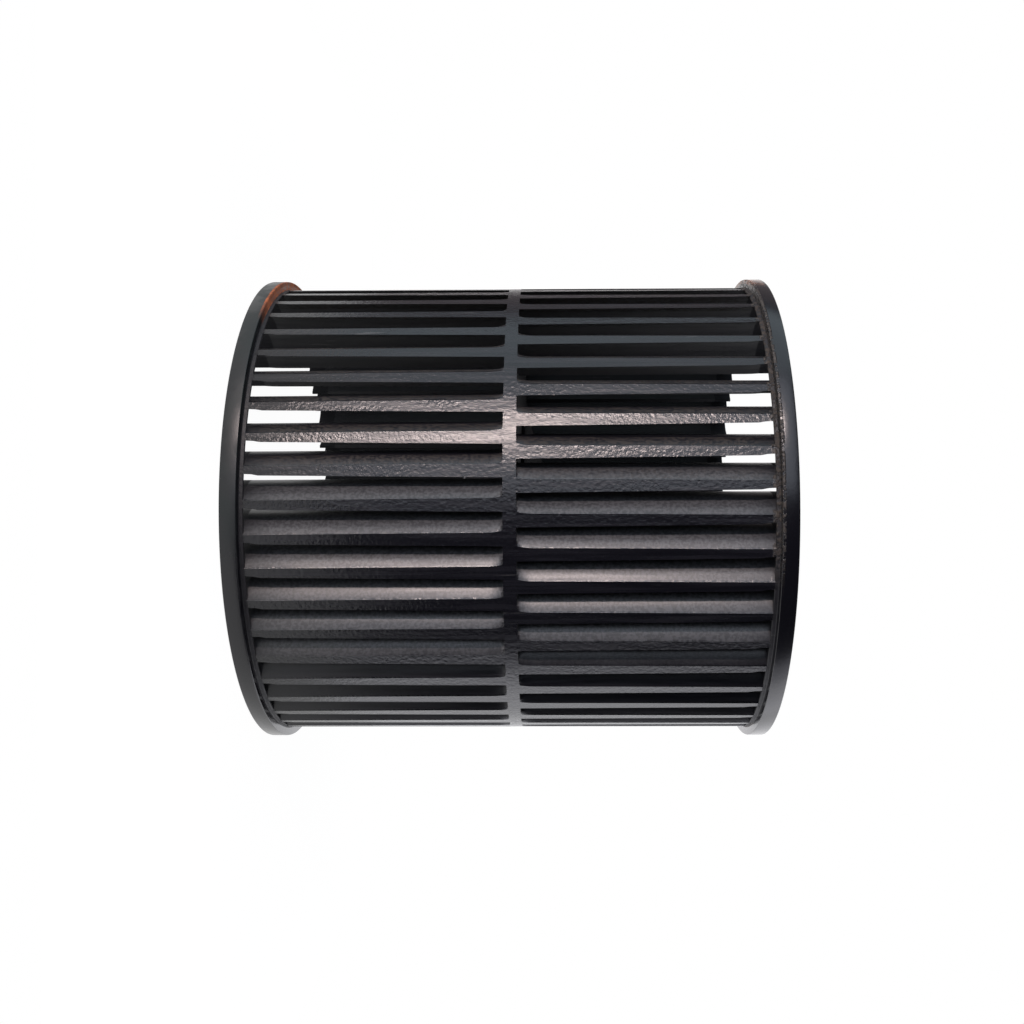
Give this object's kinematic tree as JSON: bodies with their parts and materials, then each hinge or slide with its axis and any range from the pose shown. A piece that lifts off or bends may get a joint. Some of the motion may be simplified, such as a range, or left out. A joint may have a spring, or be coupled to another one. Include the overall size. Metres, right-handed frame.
{
  "type": "centrifugal fan wheel",
  "caption": "Double-inlet centrifugal blower wheel with forward-curved blades in two rows, end hoops and a metal hub for a motor shaft.",
  "frame": {"origin": "centre of the face that the wheel stands on, under its lower hoop", "axes": "+Z along the shaft axis, from the end that the hub reaches furthest towards to the other end"},
  "size_m": [0.15, 0.15, 0.1575],
  "materials": {
    "wheel_plastic": "black moulded plastic, semi-gloss with a fine grain",
    "hub_metal": "turned, dull",
    "screw_steel": "black-oxide steel"
  },
  "bodies": {
    "root": {"fan_wheel": "wheel_plastic", "hub_bush": "hub_metal", "set_screw": "screw_steel"}
  },
  "joints": []
}
